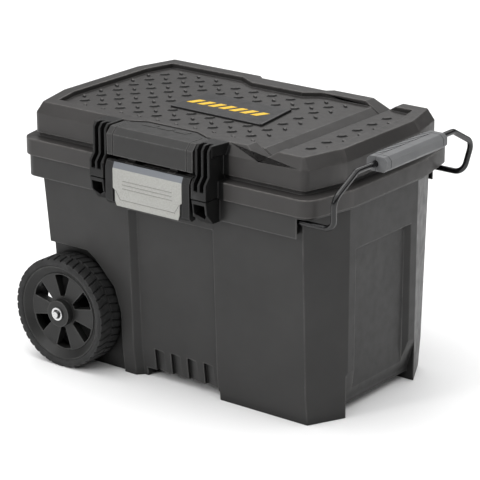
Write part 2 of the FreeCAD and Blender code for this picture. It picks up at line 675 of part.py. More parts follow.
def latch_frame():
    """Moulded frame of the latch: side arms, back panel, barrel at the top, lip at the foot."""
    front = LATCH_FRONT_Y
    low = LATCH_BOTTOM_Z
    back = front - LATCH_PANEL
    plate = latch_plate_profile()
    fold, top = plate[1], plate[2]
    profile = [(-front, low + 6), fold, top, (top[0] + 3, top[1]), (-back, fold[1]),
               (-back, low + 8), (-back + 6, low + 6), (-back + 6, low + 2), (-front + 6, low)]
    body = prism_x(profile, -LATCH_HALF_X, LATCH_HALF_X)
    barrel = rod(V(-LATCH_HALF_X, -LATCH_PIVOT_Y, LATCH_PIVOT_Z), X_AXIS, LATCH_BARREL_RADIUS,
                 2 * LATCH_HALF_X)
    body = body.fuse(barrel)
    body = body.cut(prism_x(plate, -LATCH_PLATE_HALF_X, LATCH_PLATE_HALF_X))
    reach = LATCH_BARREL_RADIUS + 1.5
    for x in (-LUG_X, LUG_X):
        half = LUG_WIDTH / 2 + SIDE_GAP
        body = body.cut(box(x - half, x + half, -LATCH_PIVOT_Y - reach, -LATCH_PIVOT_Y + 20,
                            LATCH_PIVOT_Z - reach, LATCH_PIVOT_Z + 20))
    bore = rod(V(-LATCH_HALF_X - 1, -LATCH_PIVOT_Y, LATCH_PIVOT_Z), X_AXIS,
               LATCH_PIN_RADIUS + RUNNING_FIT, 2 * LATCH_HALF_X + 2)
    return body.cut(bore).removeSplitter()


def latch_plate():
    """Metal face of the latch, stepped in at the sides and cut off at the lower corners."""
    half = LATCH_PLATE_HALF_X - 0.2
    low = LATCH_BOTTOM_Z
    high = LATCH_PIVOT_Z + 10
    plate = prism_x(latch_plate_profile(), -half, half)
    outline = [(-half, high), (half, high), (half, low + 27), (half - 4, low + 24),
               (half - 4, low + 8), (half - 7, low), (-half + 7, low), (-half + 4, low + 8),
               (-half + 4, low + 24), (-half, low + 27)]
    front = LATCH_FRONT_Y
    return plate.common(prism_y(outline, -front - 1, -front + 20)).removeSplitter()


# ---- wheels ----
def wheel_rim():
    """Spoked wheel about the Y axis at the origin, outer face towards -Y."""
    bead = WHEEL_RADIUS - TYRE_THICKNESS
    inner = bead - WHEEL_BAND
    outer_y = -WHEEL_WIDTH / 2
    rim = rod(V(0, outer_y + 2, 0), Y_AXIS, bead, WHEEL_WIDTH - 4)
    dish = Part.makeCone(bead - 2, inner, 10, V(0, outer_y + 2, 0), Y_AXIS)
    hollow = rod(V(0, outer_y + 11, 0), Y_AXIS, inner, WHEEL_WIDTH)
    rim = cut_all(rim, [dish, hollow])
    web = rod(V(0, outer_y + 10, 0), Y_AXIS, inner + 1, 14)
    windows = []
    for i in range(SPOKES):
        window = window_between_spokes(inner, outer_y)
        window.rotate(V(0, 0, 0), Y_AXIS, 360.0 / SPOKES * (i + 0.5))
        windows.append(window)
    web = cut_all(web, windows)
    hub = rod(V(0, outer_y - HUB_STAND, 0), Y_AXIS, HUB_RADIUS, WHEEL_WIDTH + HUB_STAND)
    wheel = rim.fuse([web, hub])
    bore = rod(V(0, -WHEEL_WIDTH, 0), Y_AXIS, AXLE_RADIUS + RUNNING_FIT, 2 * WHEEL_WIDTH)
    return wheel.cut(bore).removeSplitter()


def window_between_spokes(inner, outer_y):
    """Opening between two spokes, centred on +X; spokes widen outwards."""
    near = HUB_RADIUS + 4
    far = inner - 1
    narrow = near * math.sin(math.pi / SPOKES) - SPOKE_HUB_WIDTH / 2
    wide = far * math.sin(math.pi / SPOKES) - SPOKE_RIM_WIDTH / 2
    side = far * 0.95
    points = [V(near, outer_y, -narrow), V(side, outer_y, -wide), V(far, outer_y, 0),
              V(side, outer_y, wide), V(near, outer_y, narrow)]
    edges = [Part.LineSegment(points[0], points[1]).toShape(),
             Part.Arc(points[1], points[2], points[3]).toShape(),
             Part.LineSegment(points[3], points[4]).toShape(),
             Part.LineSegment(points[4], points[0]).toShape()]
    return Part.Face(Part.Wire(edges)).extrude(V(0, WHEEL_WIDTH, 0))


def tyre():
    """Solid rubber tyre with bevelled shoulders, outer face towards -Y."""
    bead = WHEEL_RADIUS - TYRE_THICKNESS
    half = WHEEL_WIDTH / 2
    shoulder = 5.0
    points = [V(bead, -half + 2, 0), V(bead + 2, -half, 0), V(WHEEL_RADIUS - shoulder, -half, 0),
              V(WHEEL_RADIUS, -half + shoulder, 0), V(WHEEL_RADIUS, half - shoulder, 0),
              V(WHEEL_RADIUS - shoulder, half, 0), V(bead + 2, half, 0), V(bead, half - 2, 0)]
    return Part.Face(polygon(points)).revolve(V(0, 0, 0), Y_AXIS, 360)


def place_wheel(shape, rear):
    """Move a wheel piece to the front, or mirrored to the rear, end of the axle."""
    placed = shape.copy()
    placed.translate(V(WHEEL_X, -WHEEL_OUTER_Y + WHEEL_WIDTH / 2, WHEEL_RADIUS))
    return placed.mirror(V(0, 0, 0), Y_AXIS) if rear else placed


def axle():
    end = AXLE_END_Y
    return rod(V(WHEEL_X, -end, WHEEL_RADIUS), Y_AXIS, AXLE_RADIUS, 2 * end)


def axle_washers():
    """Two washers on each end of the axle, either side of the wheel."""
    washers = []
    for y in (-WELL_Y - SIDE_GAP - WASHER_THICKNESS, -HUB_FACE_Y - SIDE_GAP - WASHER_THICKNESS):
        disc = rod(V(WHEEL_X, y, WHEEL_RADIUS), Y_AXIS, WASHER_RADIUS, WASHER_THICKNESS)
        hole = rod(V(WHEEL_X, y, WHEEL_RADIUS), Y_AXIS, AXLE_RADIUS, WASHER_THICKNESS)
        washers += both_sides(disc.cut(hole))
    return Part.makeCompound(washers)


def axle_push_nuts():
    """Spring nuts pressed on the axle's ends."""
    y = -HUB_FACE_Y - SIDE_GAP - WASHER_THICKNESS
    dome = Part.makeCone(AXLE_RADIUS + NUT_HEIGHT, AXLE_RADIUS + 1, NUT_HEIGHT,
                         V(WHEEL_X, y, WHEEL_RADIUS), -Y_AXIS)
    hole = rod(V(WHEEL_X, y + 1, WHEEL_RADIUS), -Y_AXIS, AXLE_RADIUS, 2 * NUT_HEIGHT)
    return Part.makeCompound(both_sides(dome.cut(hole)))


# ---- hinge and latch pins ----
def hinge_pin(x):
    length = KNUCKLE_WIDTH + 2 * SIDE_KNUCKLE_WIDTH + 2 * SIDE_GAP
    return rod(V(x - length / 2, HINGE_Y, HINGE_Z), X_AXIS, HINGE_PIN_RADIUS, length)


def latch_pin():
    reach = POST_INNER_X + FIN_WIDTH - 1
    return rod(V(-reach, -LATCH_PIVOT_Y, LATCH_PIVOT_Z), X_AXIS, LATCH_PIN_RADIUS, 2 * reach)


# ---- pull handle ----
def handle_rod():
    """One bent steel rod: two legs, two bends up each side and the bar in the grip."""
    front = [V(LEG_END_X, -LEG_Y, LEG_Z), V(LEG_CORNER_X, -LEG_Y, LEG_Z),
             V(BAIL_X, -BAIL_HALF_Y, BAIL_HIGH_Z), V(BAIL_X, -BAIL_KINK_Y, GRIP_Z)]
    rear = [V(p.x, -p.y, p.z) for p in reversed(front)]
    return bent_rod(front + rear, ROD_RADIUS, ROD_BEND)


def grip_body():
    """Both halves of the grip in one, an oblong bar with bevelled edges."""
    centre = BAIL_X + GRIP_OFFSET
    half_x = GRIP_WIDTH / 2
    half_z = GRIP_HEIGHT / 2
    bevel = GRIP_BEVEL
    points = [(centre - half_x, GRIP_Z - half_z + bevel), (centre - half_x + bevel, GRIP_Z - half_z),
              (centre + half_x - bevel, GRIP_Z - half_z), (centre + half_x, GRIP_Z - half_z + bevel),
              (centre + half_x, GRIP_Z + half_z - bevel), (centre + half_x - bevel, GRIP_Z + half_z),
              (centre - half_x + bevel, GRIP_Z + half_z), (centre - half_x, GRIP_Z + half_z - bevel)]
    body = prism_y(points, -GRIP_HALF_LENGTH, GRIP_HALF_LENGTH)
    bore = rod(V(BAIL_X, -GRIP_HALF_LENGTH, GRIP_Z), Y_AXIS, ROD_RADIUS, 2 * GRIP_HALF_LENGTH)
    body = body.cut(bore)
    line = prism_y(points, -GRIP_LINE_Y, -GRIP_LINE_Y + GRIP_LINE)
    inner = [(x + (1.0 if x < centre else -1.0), z + (1.0 if z < GRIP_Z else -1.0)) for x, z in points]
    line = line.cut(prism_y(inner, -GRIP_HALF_LENGTH, GRIP_HALF_LENGTH))
    return cut_all(body, both_sides(line))


def grip_half(outer):
    """Half of the grip on the free side or on the chest side of the rod."""
    body = grip_body()
    keep = box(BAIL_X, BAIL_X + FAR, -FAR, FAR, 0, GRIP_Z + FAR)
    if not outer:
        keep = box(BAIL_X - FAR, BAIL_X, -FAR, FAR, 0, GRIP_Z + FAR)
    half = body.common(keep)
    return half.cut(grip_screws())


def grip_screws():
    """Three screws from the chest side, under the rod."""
    screws = []
    face = BAIL_X + GRIP_OFFSET - GRIP_WIDTH / 2
    z = GRIP_Z - ROD_RADIUS - 2.4
    for i in (-1, 0, 1):
        y = i * GRIP_SCREW_PITCH
        head = rod(V(face, y, z), X_AXIS, 2.2, 2.5)
        shank = rod(V(face, y, z), X_AXIS, 1.4, GRIP_WIDTH - 14)
        screws.append(head.fuse(shank).removeSplitter())
    return Part.makeCompound(screws)


def handle_stops():
    """Sleeves crimped on the ends of the legs, too thick for the guides."""
    sleeve = rod(V(LEG_END_X, -LEG_Y, LEG_Z), X_AXIS, STOP_RADIUS, STOP_LENGTH)
    sleeve = sleeve.cut(rod(V(LEG_END_X, -LEG_Y, LEG_Z), X_AXIS, ROD_RADIUS, STOP_LENGTH))
    return Part.makeCompound(both_sides(sleeve))


def handle_guide():
    """Guide block under the collar's shelf that the front leg slides in."""
    right = COLLAR_END_X - GUIDE_INSET
    left = right - GUIDE_LENGTH
    block = box(left, right, -COLLAR_HALF_Y + COLLAR_WALL, -TUB_HALF_Y, COLLAR_Z + 3, SHELF_Z)
    bore = rod(V(left - 1, -LEG_Y, LEG_Z), X_AXIS, ROD_RADIUS + RUNNING_FIT, GUIDE_LENGTH + 2)
    block = block.cut(bore)
    for x in guide_screw_places():
        block = block.cut(rod(V(x, -TUB_HALF_Y, SCREW_Z), -Y_AXIS, SCREW_RADIUS, SCREW_GRIP))
    return block


def guide_screws():
    """Pan-head screws from inside the tub into the guides."""
    screws = []
    inside = TUB_HALF_Y - WALL
    for x in guide_screw_places():
        head = rod(V(x, -inside, SCREW_Z), Y_AXIS, 4.0, 2.4)
        shank = rod(V(x, -inside, SCREW_Z), -Y_AXIS, SCREW_RADIUS, WALL + SCREW_GRIP)
        screws += both_sides(head.fuse(shank).removeSplitter())
    return Part.makeCompound(screws)


NODES = {
    "tub": tub,
    "lid": lid,
    "latch_cover": latch_cover,
    "badge_plate": badge_plate,
    "latch_frame": latch_frame,
    "latch_plate": latch_plate,
    "latch_pin": latch_pin,
    "hinge_pin_left": lambda: hinge_pin(-HINGE_X),
    "hinge_pin_right": lambda: hinge_pin(HINGE_X),
    "axle": axle,
    "axle_washers": axle_washers,
    "axle_push_nuts": axle_push_nuts,
    "front_wheel": lambda: place_wheel(wheel_rim(), False),
    "front_tyre": lambda: place_wheel(tyre(), False),
    "rear_wheel": lambda: place_wheel(wheel_rim(), True),
    "rear_tyre": lambda: place_wheel(tyre(), True),
    "handle_rod": handle_rod,
    "grip_inner_half": lambda: grip_half(False),
    "grip_outer_half": lambda: grip_half(True),
    "grip_screws": grip_screws,
    "handle_stops": handle_stops,
    "handle_guide_front": handle_guide,
    "handle_guide_rear": lambda: handle_guide().mirror(V(0, 0, 0), Y_AXIS),
    "guide_screws": guide_screws,
}

shapes = {name: make() for name, make in NODES.items()}
bounds = Part.makeCompound(list(shapes.values())).optimalBoundingBox(False, False)
origin = V((bounds.XMin + bounds.XMax) / 2, (bounds.YMin + bounds.YMax) / 2, bounds.ZMin)
os.makedirs("parts", exist_ok=True)
for name, shape in shapes.items():
    shape.translate(-origin)
    shape.exportStep("parts/" + name + ".step")
    print(name, len(shape.Solids), "solids", round(shape.Volume / 1000, 2), "cm3", shape.isValid())
print("origin", round(origin.x, 3), round(origin.y, 3), round(origin.z, 3))
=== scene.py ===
import math

import bmesh
import bpy
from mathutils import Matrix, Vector


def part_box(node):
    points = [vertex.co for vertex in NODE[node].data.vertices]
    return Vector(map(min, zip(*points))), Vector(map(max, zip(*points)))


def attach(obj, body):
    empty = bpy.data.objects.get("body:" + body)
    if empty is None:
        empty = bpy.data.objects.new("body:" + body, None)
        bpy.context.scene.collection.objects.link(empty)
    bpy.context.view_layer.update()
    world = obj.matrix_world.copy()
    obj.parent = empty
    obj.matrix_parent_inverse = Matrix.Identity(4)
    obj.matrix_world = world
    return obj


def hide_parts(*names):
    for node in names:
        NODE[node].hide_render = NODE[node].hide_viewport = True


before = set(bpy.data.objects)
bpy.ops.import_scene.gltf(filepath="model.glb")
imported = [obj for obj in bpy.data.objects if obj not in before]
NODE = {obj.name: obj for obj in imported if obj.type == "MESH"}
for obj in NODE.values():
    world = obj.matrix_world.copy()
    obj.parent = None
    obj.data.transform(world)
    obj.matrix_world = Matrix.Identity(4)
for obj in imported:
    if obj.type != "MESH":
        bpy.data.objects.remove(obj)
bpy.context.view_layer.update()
MM = 0.001

# ---- places, worked out from the frame (metres) ----
LID_LOW, LID_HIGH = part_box("lid")
TYRE_LOW, TYRE_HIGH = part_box("front_tyre")
REAR_TYRE_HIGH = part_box("rear_tyre")[1]
PLATE_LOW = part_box("latch_plate")[0]
GRIP_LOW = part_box("grip_inner_half")[0]
GRIP_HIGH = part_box("grip_outer_half")[1]
MIDDLE = Vector(((LID_LOW.x + LID_HIGH.x) / 2, (TYRE_LOW.y + REAR_TYRE_HIGH.y) / 2, 0.0))
WHEEL_RADIUS = (TYRE_HIGH.z - TYRE_LOW.z) / 2


def at(x, y, z):
    """A point in millimetres from the lid's middle and the floor, in the frame."""
    return MIDDLE + Vector((x, y, z)) * MM


# ---- node trees ----
class Tree:
    """Short calls for building one material's node tree."""

    def __init__(self, name):
        self.material = bpy.data.materials.new(name)
        self.material.use_nodes = True
        self.nodes = self.material.node_tree.nodes
        self.links = self.material.node_tree.links
        self.shader = self.nodes["Principled BSDF"]
        self.place = self.nodes.new("ShaderNodeTexCoord").outputs["Object"]

    def set(self, **values):
        for name, value in values.items():
            self.shader.inputs[name.replace("_", " ")].default_value = value

    def link(self, output, socket):
        self.links.new(output, socket)

    def noise(self, scale, detail=2.0, stretch=(1, 1, 1)):
        node = self.nodes.new("ShaderNodeTexNoise")
        node.inputs["Scale"].default_value = scale
        node.inputs["Detail"].default_value = detail
        self.link(self.stretched(stretch), node.inputs["Vector"])
        return node.outputs["Fac"]

    def stretched(self, stretch):
        if stretch == (1, 1, 1):
            return self.place
        node = self.nodes.new("ShaderNodeMapping")
        node.inputs["Scale"].default_value = stretch
        self.link(self.place, node.inputs["Vector"])
        return node.outputs["Vector"]

    def math(self, kind, a, b):
        node = self.nodes.new("ShaderNodeMath")
        node.operation = kind
        for socket, value in zip(node.inputs, (a, b)):
            if isinstance(value, (int, float)):
                socket.default_value = value
            else:
                self.link(value, socket)
        return node.outputs["Value"]

    def spread(self, value, low, high, start=0.0, end=1.0):
        """The value's stretch from start to end, carried over to low to high."""
        node = self.nodes.new("ShaderNodeMapRange")
        node.inputs["From Min"].default_value = start
        node.inputs["From Max"].default_value = end
        node.inputs["To Min"].default_value = low
        node.inputs["To Max"].default_value = high
        self.link(value, node.inputs["Value"])
        return node.outputs["Result"]

    def mix(self, share, a, b):
        node = self.nodes.new("ShaderNodeMix")
        node.data_type = "RGBA"
        self.link(share, node.inputs["Factor"])
        for name, colour in (("A", a), ("B", b)):
            socket = [s for s in node.inputs if s.name == name and s.type == "RGBA"][0]
            if isinstance(colour, tuple):
                socket.default_value = colour + (1.0,)
            else:
                self.link(colour, socket)
        return [s for s in node.outputs if s.type == "RGBA"][0]

    def edges(self, radius):
        """1 on edges within radius, 0 on flat faces."""
        bevel = self.nodes.new("ShaderNodeBevel")
        bevel.samples = 4
        bevel.inputs["Radius"].default_value = radius
        flat = self.nodes.new("ShaderNodeNewGeometry")
        dot = self.nodes.new("ShaderNodeVectorMath")
        dot.operation = "DOT_PRODUCT"
        self.link(bevel.outputs["Normal"], dot.inputs[0])
        self.link(flat.outputs["True Normal"], dot.inputs[1])
        return self.spread(dot.outputs["Value"], 1.0, 0.0, 0.93, 0.996)

    def openness(self, distance):
        """1 on open faces, less in corners and grooves."""
        node = self.nodes.new("ShaderNodeAmbientOcclusion")
        node.samples = 6
        node.inputs["Distance"].default_value = distance
        return node.outputs["AO"]

    def bump(self, height, strength, distance):
        node = self.nodes.new("ShaderNodeBump")
        node.inputs["Strength"].default_value = strength
        node.inputs["Distance"].default_value = distance
        self.link(height, node.inputs["Height"])
        self.link(node.outputs["Normal"], self.shader.inputs["Normal"])

    def colour(self, output):
        self.link(output, self.shader.inputs["Base Color"])

    def roughness(self, output):
        self.link(output, self.shader.inputs["Roughness"])


def scaled(colour, share):
    return tuple(c * share for c in colour)


def within(t, low, high):
    """1 inside a box given by two corners in chest millimetres, and inside its mirror in x."""
    node = t.nodes.new("ShaderNodeSeparateXYZ")
    t.link(t.place, node.inputs["Vector"])
    inside = 1.0
    for axis, output in enumerate(node.outputs):
        value = t.math("SUBTRACT", output, MIDDLE[axis])
        if axis == 0:
            value = t.math("ABSOLUTE", value, 0.0)
        inside = t.math("MULTIPLY", inside, t.math("GREATER_THAN", value, low[axis] * MM))
        inside = t.math("MULTIPLY", inside, t.math("LESS_THAN", value, high[axis] * MM))
    return inside


def posts(t):
    """The lid's latch posts, the area that gets painted shade on the lid plastic."""
    return within(t, (84.2, -220, 330), (121, -165, 420))


def brackets(t):
    """The collar's latch brackets, the area that gets painted shade on the tub plastic."""
    return within(t, (84.2, -220, 290), (111.5, -181, 337))


def moulded(name, colour, rough=0.45, grain=1400.0, relief=0.12, edge_wear_and_highlight_gain=4.5, specular=0.28, painted_shade=None):
    """Moulded plastic: fine spark-eroded grain, faint cloudiness, paler edges that are partly rubbed
    wear and partly painted highlight, painted shade in corners and grooves, and painted shade over
    an optional area.
    """
    t = Tree(name)
    cloud = t.noise(9.0, 4.0)
    body = t.mix(t.spread(cloud, 0.0, 1.0, 0.3, 0.7), scaled(colour, 0.88), scaled(colour, 1.12))
    edge_breakup = t.noise(120.0, 6.0, (1, 1, 0.25))
    # Paler edges, partly rubbed wear and partly painted highlight, broken up by noise and kept off
    # tight concave edges.
    edge_wear_and_highlight = t.math("MULTIPLY", t.edges(0.0028), t.spread(edge_breakup, 0.4, 1.0, 0.35, 0.65))
    edge_wear_and_highlight = t.math("MULTIPLY", edge_wear_and_highlight, t.spread(t.openness(0.006), 0.0, 1.0, 0.80, 0.97))
    # Painted shade: the colour darkens towards a fifth of itself in corners and grooves found by
    # ambient occlusion.
    body = t.mix(t.spread(t.openness(0.025), 0.0, 1.0, 0.30, 0.85), scaled(colour, 0.2), body)
    body = t.mix(edge_wear_and_highlight, body, scaled(colour, edge_wear_and_highlight_gain))
    # Painted shade: near-black colour over the given area (latch posts or brackets).
    if painted_shade:
        body = t.mix(painted_shade(t), body, (0.0045, 0.0045, 0.0045))
    t.colour(body)
    fine = t.noise(grain, 3.0)
    t.roughness(t.spread(t.noise(60.0, 5.0), rough - 0.06, rough + 0.08, 0.3, 0.7))
    t.bump(fine, relief, 0.0003)
    t.set(Specular_IOR_Level=specular)
    return t.material


def rubber(name, colour):
    t = Tree(name)
    dust = t.spread(t.noise(70.0, 6.0), 0.0, 1.0, 0.45, 0.75)
    t.colour(t.mix(dust, colour, scaled(colour, 1.7)))
    t.roughness(t.spread(t.noise(200.0, 4.0), 0.55, 0.75, 0.3, 0.7))
    t.bump(t.noise(900.0, 4.0), 0.2, 0.0004)
    t.set(Specular_IOR_Level=0.25)
    return t.material


def fold(t):
    """The folded top of the latch plate, the area that gets painted shade on the latch metal."""
    return within(t, (-1, -230, 357), (90, -190, 380))


def metal(name, colour, rough, streak, stretch, metallic=1.0, relief=0.1, painted_shade=None):
    t = Tree(name)
    grain = t.noise(streak, 4.0, stretch)
    body = t.mix(t.spread(grain, 0.0, 1.0, 0.3, 0.7), scaled(colour, 0.86), scaled(colour, 1.1))
    # Painted shade: a darker blue-grey over the given area (the plate's fold).
    if painted_shade:
        body = t.mix(painted_shade(t), body, (0.15, 0.16, 0.175))
    t.colour(body)
    t.roughness(t.spread(grain, rough - 0.06, rough + 0.08, 0.3, 0.7))
    t.bump(grain, relief, 0.0002)
    t.set(Metallic=metallic)
    return t.material


def paint(name, colour, rough=0.4):
    """Printed ink over the plate's grain."""
    t = Tree(name)
    t.colour(t.mix(t.spread(t.noise(300.0, 5.0), 0.0, 1.0, 0.35, 0.7), scaled(colour, 0.93), colour))
    t.roughness(t.spread(t.noise(150.0, 3.0), rough - 0.05, rough + 0.1, 0.3, 0.7))
    t.bump(t.noise(1400.0, 2.0), 0.08, 0.0002)
    return t.material


MATERIAL = {
    "tub_plastic": moulded("tub_plastic", (0.027, 0.0265, 0.026), rough=0.42, painted_shade=brackets),
    "lid_plastic": moulded("lid_plastic", (0.0345, 0.0325, 0.0315), rough=0.40, painted_shade=posts),
    "trim_plastic": moulded("trim_plastic", (0.009, 0.009, 0.009), rough=0.5),
    "cover_plastic": moulded("cover_plastic", (0.026, 0.0255, 0.025), rough=0.47),
    "wheel_plastic": moulded("wheel_plastic", (0.018, 0.018, 0.0175), rough=0.40),
    "badge": moulded("badge", (0.025, 0.0245, 0.025), grain=700.0, relief=0.2),
    "tyre_rubber": rubber("tyre_rubber", (0.020, 0.020, 0.020)),
    "tread_rubber": rubber("tread_rubber", (0.0035, 0.0035, 0.0035)),
    "grip_plastic": moulded("grip_plastic", (0.125, 0.127, 0.130), rough=0.5, grain=900.0, edge_wear_and_highlight_gain=1.3),
    "latch_metal": metal("latch_metal", (0.34, 0.34, 0.32), 0.42, 500.0, (1, 0.05, 1), 0.35, 0.06,
                         fold),
    "steel": metal("steel", (0.60, 0.60, 0.60), 0.28, 900.0, (1, 1, 1)),
    "black_steel": metal("black_steel", (0.003, 0.003, 0.0034), 0.17, 40.0, (1, 1, 1), 0.0, 0.01),
    "shaded_metal": metal("shaded_metal", (0.10, 0.10, 0.095), 0.5, 500.0, (1, 1, 1), 0.2, 0.06),
    "shaded_grip": moulded("shaded_grip", (0.03, 0.03, 0.031), rough=0.6, grain=900.0, edge_wear_and_highlight_gain=1.2),
    "mark_yellow": paint("mark_yellow", (0.74, 0.46, 0.006)),
}


# ---- meshes ----
def add_piece(name, mesh, slot, body, *nodes):
    """Show a mesh as a piece that rides on a body and stands for CAD nodes, if any."""
    piece = bpy.data.objects.new(name, mesh)
    bpy.context.scene.collection.objects.link(piece)
    mesh.materials.clear()
    mesh.materials.append(MATERIAL[slot])
    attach(piece, body)
    if nodes:
        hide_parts(*nodes)
    return piece


def to_mesh(name, bm):
    mesh = bpy.data.meshes.new(name)
    bmesh.ops.recalc_face_normals(bm, faces=bm.faces)
    bm.to_mesh(mesh)
    bm.free()
    return mesh


def soften(piece, width, segments=2, limit=28.0):
    """Round the piece's edges and shade its flat faces flat."""
    piece.data.shade_smooth()
    bevel = piece.modifiers.new("round_edges", "BEVEL")
    bevel.width = width
    bevel.segments = segments
    bevel.limit_method = "ANGLE"
    bevel.angle_limit = math.radians(limit)
    bevel.use_clamp_overlap = True
    flat = piece.modifiers.new("flat_faces", "WEIGHTED_NORMAL")
    flat.keep_sharp = True
    return piece


LATCH_BAY_HALF_X, LATCH_BAY_REAR_Y, LUG_TOP_Z = 84.3, -190, 378


def near_latch(edge):
    """Whether an edge lies among the lid's lugs and the foot of its housing."""
    middle = (edge.verts[0].co + edge.verts[1].co) / 2 - MIDDLE
    in_front = middle.y < LATCH_BAY_REAR_Y * MM and middle.z < LUG_TOP_Z * MM
    return in_front and abs(middle.x) < LATCH_BAY_HALF_X * MM


CURVED_UNDER, FLAT_UNDER, ROUND_OVER = (math.radians(angle) for angle in (3, 0.5, 20))


def rounded_node(name, width, slot, body):
    """A copy of a CAD node with its edges rounded and its curved faces smooth."""
    bm = bmesh.new()
    bm.from_mesh(NODE[name].data)
    for edge in bm.edges:
        edge.smooth = not edge.is_boundary
    bmesh.ops.remove_doubles(bm, verts=bm.verts, dist=1e-6)
    for edge in bm.edges:
        edge.smooth = edge.smooth or edge.calc_face_angle(0) < CURVED_UNDER
    bmesh.ops.dissolve_limit(bm, angle_limit=FLAT_UNDER, verts=bm.verts, edges=bm.edges,
                             delimit={"SHARP"})
    weight = bm.edges.layers.float.new("bevel_weight_edge")
    for edge in bm.edges:
        if not edge.smooth and edge.calc_face_angle(0) > ROUND_OVER:
            if name != "lid" or not near_latch(edge):
                edge[weight] = 1.0
                edge.smooth = True
    mesh = bpy.data.meshes.new(name + "_rounded")
    bm.to_mesh(mesh)
    bm.free()
    piece = add_piece(name + "_rounded", mesh, slot, body, name)
    for polygon in mesh.polygons:
        polygon.use_smooth = True
    bevel = piece.modifiers.new("round_edges", "BEVEL")
    bevel.width = width
    bevel.segments = 2
    bevel.limit_method = "WEIGHT"
    bevel.use_clamp_overlap = False
    bevel.loop_slide = False
    flat = piece.modifiers.new("flat_faces", "WEIGHTED_NORMAL")
    flat.keep_sharp = True
    return piece


# ---- carried-over CAD nodes ----
for node in NODE.values():
    for slot in node.material_slots:
        slot.material = MATERIAL[slot.material.name]

for slot in NODE["axle_push_nuts"].material_slots:
    slot.material = MATERIAL["black_steel"]

rounded_node("tub", 1.1 * MM, "tub_plastic", "tub")
rounded_node("lid", 1.2 * MM, "lid_plastic", "lid")
cover = rounded_node("latch_cover", 0.35 * MM, "trim_plastic", "lid")
cover.material_slots[0].material = MATERIAL["cover_plastic"]
rounded_node("badge_plate", 0.6 * MM, "badge", "lid")
rounded_node("latch_frame", 0.4 * MM, "trim_plastic", "latch")
rounded_node("latch_plate", 0.5 * MM, "latch_metal", "latch")
rounded_node("front_wheel", 0.6 * MM, "wheel_plastic", "front_wheel")
rounded_node("rear_wheel", 0.6 * MM, "wheel_plastic", "rear_wheel")
rounded_node("handle_rod", 0.4 * MM, "black_steel", "handle")


# ---- pieces that the frame leaves to the looks ----
def prism(bm, low, high):
    """Closed solid between two rings of points."""
    rings = [[bm.verts.new(point) for point in ring] for ring in (low, high)]
    count = len(low)
    for i in range(count):
        j = (i + 1) % count
        bm.faces.new((rings[0][i], rings[0][j], rings[1][j], rings[1][i]))
    bm.faces.new(rings[0][::-1])
    bm.faces.new(rings[1])


def flat_prism(bm, outline, low, high, shrink=0.0):
    """Solid over an outline of (x, y) points in mm; its top is drawn in by a share."""
    middle = Vector((sum(x for x, y in outline), sum(y for x, y in outline))) / len(outline)
    top = [middle + (Vector(point) - middle) * (1 - shrink) for point in outline]
    prism(bm, [at(x, y, low) for x, y in outline], [at(p.x, p.y, high) for p in top])


def turned(points, centre, angle):
    cos, sin = math.cos(angle), math.sin(angle)
    return [(centre[0] + x * cos - y * sin, centre[1] + x * sin + y * cos) for x, y in points]


# The sunk tread field and what interrupts it, in chest millimetres.
FIELD_HALF_X, FIELD_HALF_Y = 233.0, 139
FIELD_EXTRA_X, FIELD_EXTRA_HALF_Y = 12.0, 88
REAR_NOTCH_X, REAR_NOTCH_Y = (-102, 80), 122
VALLEY_X = (147, 203)
BADGE_X, BADGE_Y = (-90, 92), (-51, 47)


def on_tread_field(x, y):
    """Whether a tread bar fits on the sunk field clear of its edges, badge and valley."""
    reach = 7.0
    side = FIELD_HALF_X + (FIELD_EXTRA_X if abs(y) < FIELD_EXTRA_HALF_Y else 0.0)
    if abs(x) > side - reach or abs(y) > FIELD_HALF_Y - reach:
        return False
    if REAR_NOTCH_X[0] < x < REAR_NOTCH_X[1] and y > REAR_NOTCH_Y - reach:
        return False
    if VALLEY_X[0] - reach < x < VALLEY_X[1] + reach:
        return False
    level_with_badge = BADGE_X[0] - reach < x < BADGE_X[1] + reach
    return not (level_with_badge and BADGE_Y[0] - reach < y < BADGE_Y[1] + reach)


def tread_bars():
    """Raised pointed bars in two directions on the lid's sunk field."""
    pitch_x, pitch_y = 36.0, 39.5
    half, thick, low, high = 9.6, 2.9, 409.7, 412.4
    outline = [(-half, 0), (-half * 0.45, -thick), (half * 0.45, -thick), (half, 0),
               (half * 0.45, thick), (-half * 0.45, thick)]
    bm = bmesh.new()
    for i in range(-8, 9):
        for j in range(-5, 6):
            for dx, dy, angle in ((0, 18.0, math.pi / 4), (18.0, -1.7, -math.pi / 4)):
                centre = (i * pitch_x + dx, j * pitch_y + dy)
                if on_tread_field(*centre):
                    flat_prism(bm, turned(outline, centre, angle), low, high, 0.36)
    piece = add_piece("tread_bars", to_mesh("tread_bars", bm), "lid_plastic", "lid")
    # Painted shade: the bars' side faces get the dark trim plastic.
    shade_sides(piece, "trim_plastic", Vector((0, 0, 1)))
    soften(piece, 0.25 * MM)


def shade_sides(piece, material, up):
    """Second material on the faces that don't look along up, as painted shade on those faces."""
    piece.data.materials.append(MATERIAL[material])
    for polygon in piece.data.polygons:
        polygon.material_index = 0 if polygon.normal.dot(up) > 0.7 else 1


def badge_stripes():
    """Plain slanted stripes where the badge plate carries its print."""
    count, pitch, width, slant, half = 7, 20.5, 12.0, 5.0, 10.5
    middle, low, high = Vector((-8.0, -6.0)), 412.6, 413.4
    bm = bmesh.new()
    for i in range(count):
        x = middle.x + (i - (count - 1) / 2) * pitch
        y = middle.y
        outline = [(x - width / 2 - slant, y - half), (x + width / 2 - slant, y - half),
                   (x + width / 2 + slant, y + half), (x - width / 2 + slant, y + half)]
        flat_prism(bm, outline, low, high)
    mesh = to_mesh("badge_stripes", bm)
    piece = add_piece("badge_stripes", mesh, "badge", "lid")
    piece.material_slots[0].material = MATERIAL["mark_yellow"]
    soften(piece, 0.15 * MM)


